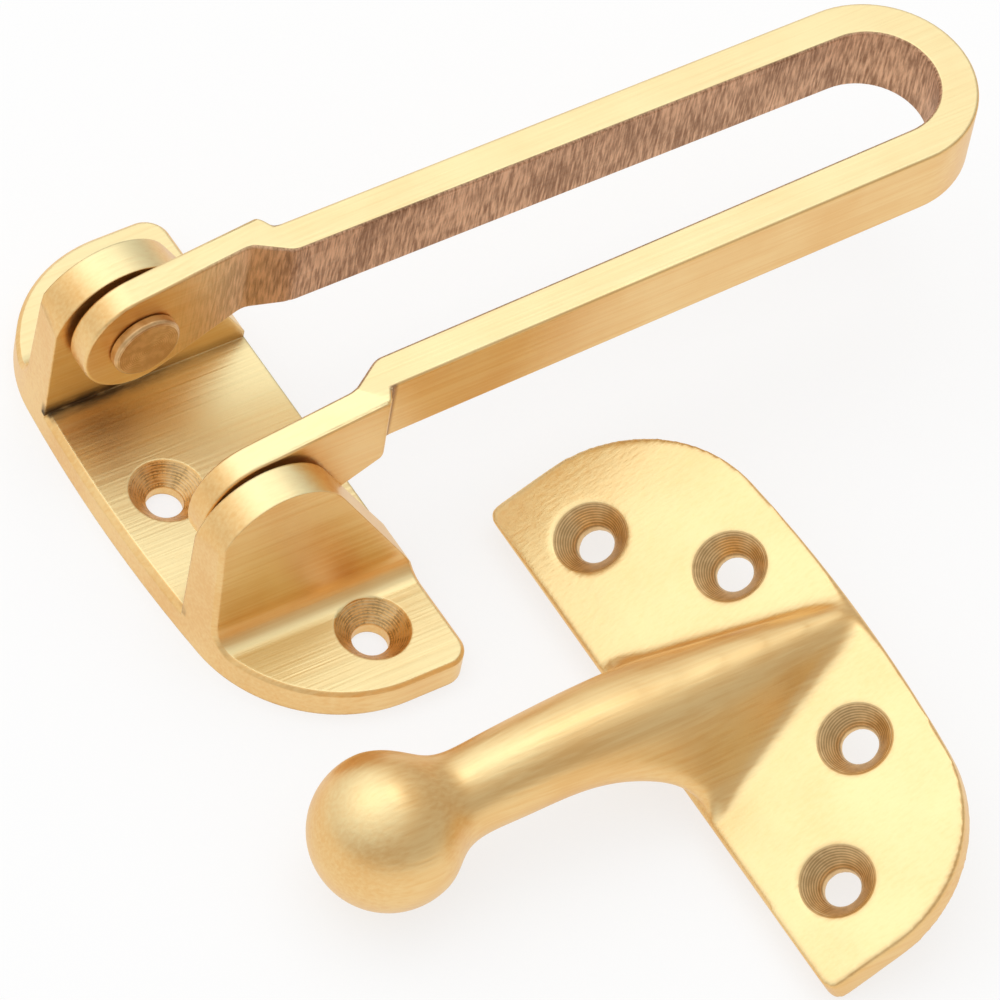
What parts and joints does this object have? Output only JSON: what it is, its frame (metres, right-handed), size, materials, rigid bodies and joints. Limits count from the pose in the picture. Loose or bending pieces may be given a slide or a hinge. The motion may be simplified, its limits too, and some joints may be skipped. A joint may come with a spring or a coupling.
{
  "type": "swing bar door guard",
  "caption": "Satin brass door guard: a screw-on bracket with two ears carries a hinged U-shaped swing bar, with a separate ball-ended keeper plate that the bar's slot passes over.",
  "frame": {"origin": "middle of the straight edge of the bracket's plate, on its back", "axes": "+Z out of the surface that the bracket is screwed to, +X the way the bar points at rest, Y along the hinge"},
  "size_m": [0.1221, 0.1318, 0.0297],
  "materials": {
    "bracket_brass": "satin brushed",
    "bar_brass": "satin, filed inside",
    "pin_brass": "turned",
    "keeper_brass": "satin brushed"
  },
  "bodies": {
    "bracket": {"frame_bracket": "bracket_brass", "pivot_pin_far": "pin_brass", "pivot_pin_near": "pin_brass", "ball_keeper": "keeper_brass"},
    "bar": {"swing_bar": "bar_brass"}
  },
  "joints": [
    {"name": "bar_swing", "type": "hinge", "parent": "bracket", "child": "bar", "pos_m": [-0.0182, 0, 0.0176], "axis": [0, -1, 0], "range_deg": [-9.5, 182]}
  ]
}
